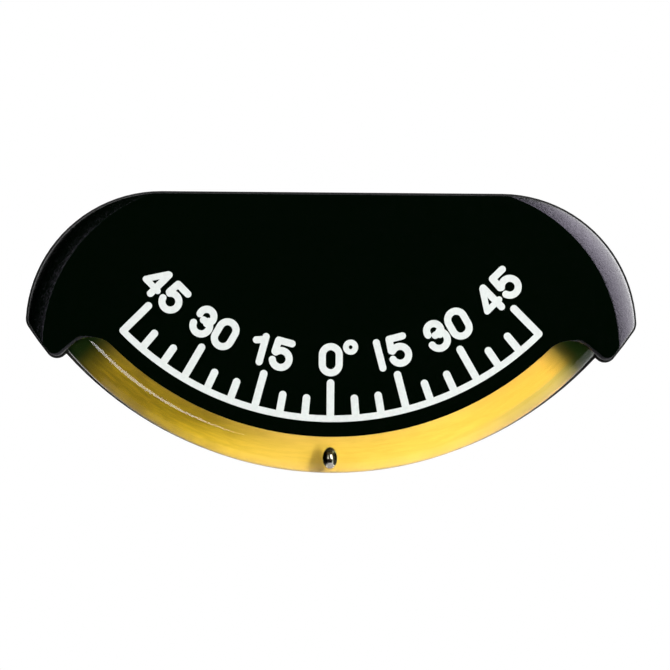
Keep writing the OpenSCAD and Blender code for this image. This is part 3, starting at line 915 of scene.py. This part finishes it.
def soft_box(name, bearing_deg, climb_deg, distance, size, radiance, glossy=True, diffuse=True):
    """A soft box that faces the dial. Bearing 0 is the camera's side and 90 the right."""
    data = bpy.data.lights.new(name, "AREA")
    data.shape = "RECTANGLE"
    data.size, data.size_y = size
    data.energy = radiance * math.pi * size[0] * size[1]
    lamp = bpy.data.objects.new(name, data)
    bpy.context.scene.collection.objects.link(lamp)
    a, e = math.radians(bearing_deg), math.radians(climb_deg)
    out = Vector((math.sin(a) * math.cos(e), -math.cos(a) * math.cos(e), math.sin(e)))
    lamp.location = out * distance
    lamp.rotation_mode = "QUATERNION"
    lamp.rotation_quaternion = out.to_track_quat("Z", "Y")
    lamp.visible_camera = False
    lamp.visible_diffuse = diffuse
    lamp.visible_glossy = glossy
    lamp.visible_transmission = glossy


def make_lights(st):
    """Soft boxes round the right, strips for the ball, and front lamps that gloss doesn't show."""
    left_strip = st.strip_share * st.strips
    # Each has its bearing and climb in degrees, its distance, its size and its radiance
    soft_box("side_box", 101, 8, 1.3, (1.5, 1.0), st.side)
    soft_box("high_box", 97, 45, 1.3, (1.4, 0.7), st.high)
    soft_box("rear_box", 150, 12, 1.3, (0.6, 1.2), st.rear)
    soft_box("streak_box", 25, 28, 1.3, (0.5, 0.5), st.streak, diffuse=False)
    soft_box("right_strip", 46, 16, 2.0, (0.26, 1.6), st.strips, diffuse=False)
    soft_box("left_strip", -44, 12, 2.0, (0.16, 1.3), left_strip, diffuse=False)
    soft_box("front_lamp", 34, 7, 2.0, (0.3, 0.3), st.front, glossy=False)
    soft_box("front_fill", 3, 2, 2.0, (1.2, 1.2), st.fill, glossy=False)


# Operators


class CLINOMETER_OT_stage(Operator):
    """Camera, soft boxes, pale floor and white background"""

    bl_idname = "clinometer.make_stage"
    bl_label = "Stage"

    def execute(self, context):
        st = context.scene.clinometer_stage
        make_camera(st)
        make_world()
        make_floor(st)
        make_lights(st)
        return {"FINISHED"}


class CLINOMETER_OT_cover(Operator):
    """Front cover with rounded edges, bevelled shoulders and the tube's channel"""

    bl_idname = "clinometer.make_cover"
    bl_label = "Front cover"

    def execute(self, context):
        s = context.scene.clinometer_case
        rings = COVER_RINGS, COVER_RING_SPACING
        cover = bevelled_block("front_cover_moulding", s, 0.0, PLATE_H, EDGE_STEPS, *rings)
        rings = HOLLOW_RINGS, HOLLOW_RING_SPACING
        hollow = bevelled_block("hollow", s, -s.wall, PLATE_H - MM, 0, *rings)
        cut(cover, hollow)
        cut(cover, make_channel(context.scene.clinometer_tube))
        smooth(cover)
        paint(cover, case_material(context.scene.clinometer_finish))
        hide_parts("front_cover")
        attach(cover, "case")
        return {"FINISHED"}


class CLINOMETER_OT_tube(Operator):
    """Clear tube, with a blind bore at each end for its plug, and the fluid inside it"""

    bl_idname = "clinometer.make_tube"
    bl_label = "Tube and fluid"

    def execute(self, context):
        t = context.scene.clinometer_tube
        tube = make_rod(t)
        smooth(tube)
        paint(tube, tube_material())
        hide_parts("tube")
        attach(tube, "case")
        r = t.bore_d / 2 - t.fluid_gap
        half = t.plug_angle - t.fluid_gap / t.tube_r
        section = round_section(t.tube_r, TUBE_H, r, t.round_steps)
        fluid = swept("fluid_column", section, half, t.bend_steps)
        smooth(fluid)
        paint(fluid, fluid_material(context.scene.clinometer_finish))
        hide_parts("damping_fluid")
        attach(fluid, "case")
        return {"FINISHED"}


class CLINOMETER_OT_ball(Operator):
    """Finish of the steel ball"""

    bl_idname = "clinometer.finish_ball"
    bl_label = "Ball"

    def execute(self, context):
        paint_node("ball", steel_material(context.scene.clinometer_finish))
        return {"FINISHED"}


class CLINOMETER_OT_scale(Operator):
    """Finish of the printed scale and numerals"""

    bl_idname = "clinometer.finish_scale"
    bl_label = "Scale and numerals"

    def execute(self, context):
        ink = print_material(context.scene.clinometer_finish)
        paint_node("scale_arc", ink)
        paint_node("scale_numerals", ink)
        return {"FINISHED"}


class CLINOMETER_OT_strip(Operator):
    """Finish of the yellow reflector strip"""

    bl_idname = "clinometer.finish_strip"
    bl_label = "Reflector strip"

    def execute(self, context):
        paint_node("reflector_strip", strip_material(context.scene.clinometer_finish))
        return {"FINISHED"}


class CLINOMETER_OT_back(Operator):
    """Finishes of the back plate, its screws and the mounting pad"""

    bl_idname = "clinometer.finish_back"
    bl_label = "Back plate, screws and pad"

    def execute(self, context):
        colours = context.scene.clinometer_finish
        paint_node("back_plate", plate_material(colours))
        paint_node("cover_screws", screw_material())
        paint_node("adhesive_pad", pad_material(colours))
        return {"FINISHED"}


class CLINOMETER_OT_ends(Operator):
    """Finishes of the tube's plugs, seals, saddles and cushions, and of the filling port"""

    bl_idname = "clinometer.finish_ends"
    bl_label = "Tube ends"

    def execute(self, context):
        rubber = context.scene.clinometer_finish.rubber
        both, one = ("left_", "right_"), ("",)
        # Sides, node, material, colour, roughness, and the bump's scale and depth
        table = [
            (both, "end_plug", "plug_nylon", (0.012, 0.012, 0.013), 0.45, 3000, 0.00002),
            (both, "plug_seal", "black_rubber", rubber, 0.6, 3200, 0.00003),
            (both, "saddle", "saddle_rubber", (0.03, 0.03, 0.032), 0.7, 2600, 0.00004),
            (both, "end_cushion", "cushion_foam", (0.1, 0.1, 0.11), 0.9, 2600, 0.00012),
            (one, "fill_screw", "natural_nylon", (0.75, 0.73, 0.66), 0.4, 3000, 0.00002),
            (one, "fill_seal", "seal_silicone", (0.2, 0.03, 0.02), 0.6, 3000, 0.00002),
        ]
        for sides, node, *finish in table:
            material = plain_material(*finish)
            for side in sides:
                paint_node(side + node, material)
        return {"FINISHED"}


class CLINOMETER_PT_panel(Panel):
    """Lists the clinometer's operators."""

    bl_idname = "CLINOMETER_PT_panel"
    bl_label = "Ball Clinometer"
    bl_space_type = "VIEW_3D"
    bl_region_type = "UI"
    bl_category = "Clinometer"

    def draw(self, context):
        for step in STEPS:
            self.layout.operator(step.bl_idname)


STEPS = (
    CLINOMETER_OT_stage,
    CLINOMETER_OT_cover,
    CLINOMETER_OT_tube,
    CLINOMETER_OT_ball,
    CLINOMETER_OT_scale,
    CLINOMETER_OT_strip,
    CLINOMETER_OT_back,
    CLINOMETER_OT_ends,
)
GROUPS = {
    "clinometer_case": CaseSizes,
    "clinometer_tube": TubeSizes,
    "clinometer_finish": Finishes,
    "clinometer_stage": StageSizes,
}


def register():
    """Registers the property groups, operators and panel."""
    for name, group in GROUPS.items():
        bpy.utils.register_class(group)
        setattr(bpy.types.Scene, name, PointerProperty(type=group))
    for cls in (*STEPS, CLINOMETER_PT_panel):
        bpy.utils.register_class(cls)


def unregister():
    """Takes them away again."""
    for cls in (CLINOMETER_PT_panel, *reversed(STEPS)):
        bpy.utils.unregister_class(cls)
    for name, group in reversed(list(GROUPS.items())):
        delattr(bpy.types.Scene, name)
        bpy.utils.unregister_class(group)


def main():
    """Builds everything in order."""
    register()
    for step in STEPS:
        group, action = step.bl_idname.split(".")
        getattr(getattr(bpy.ops, group), action)()


if __name__ == "__main__":
    main()
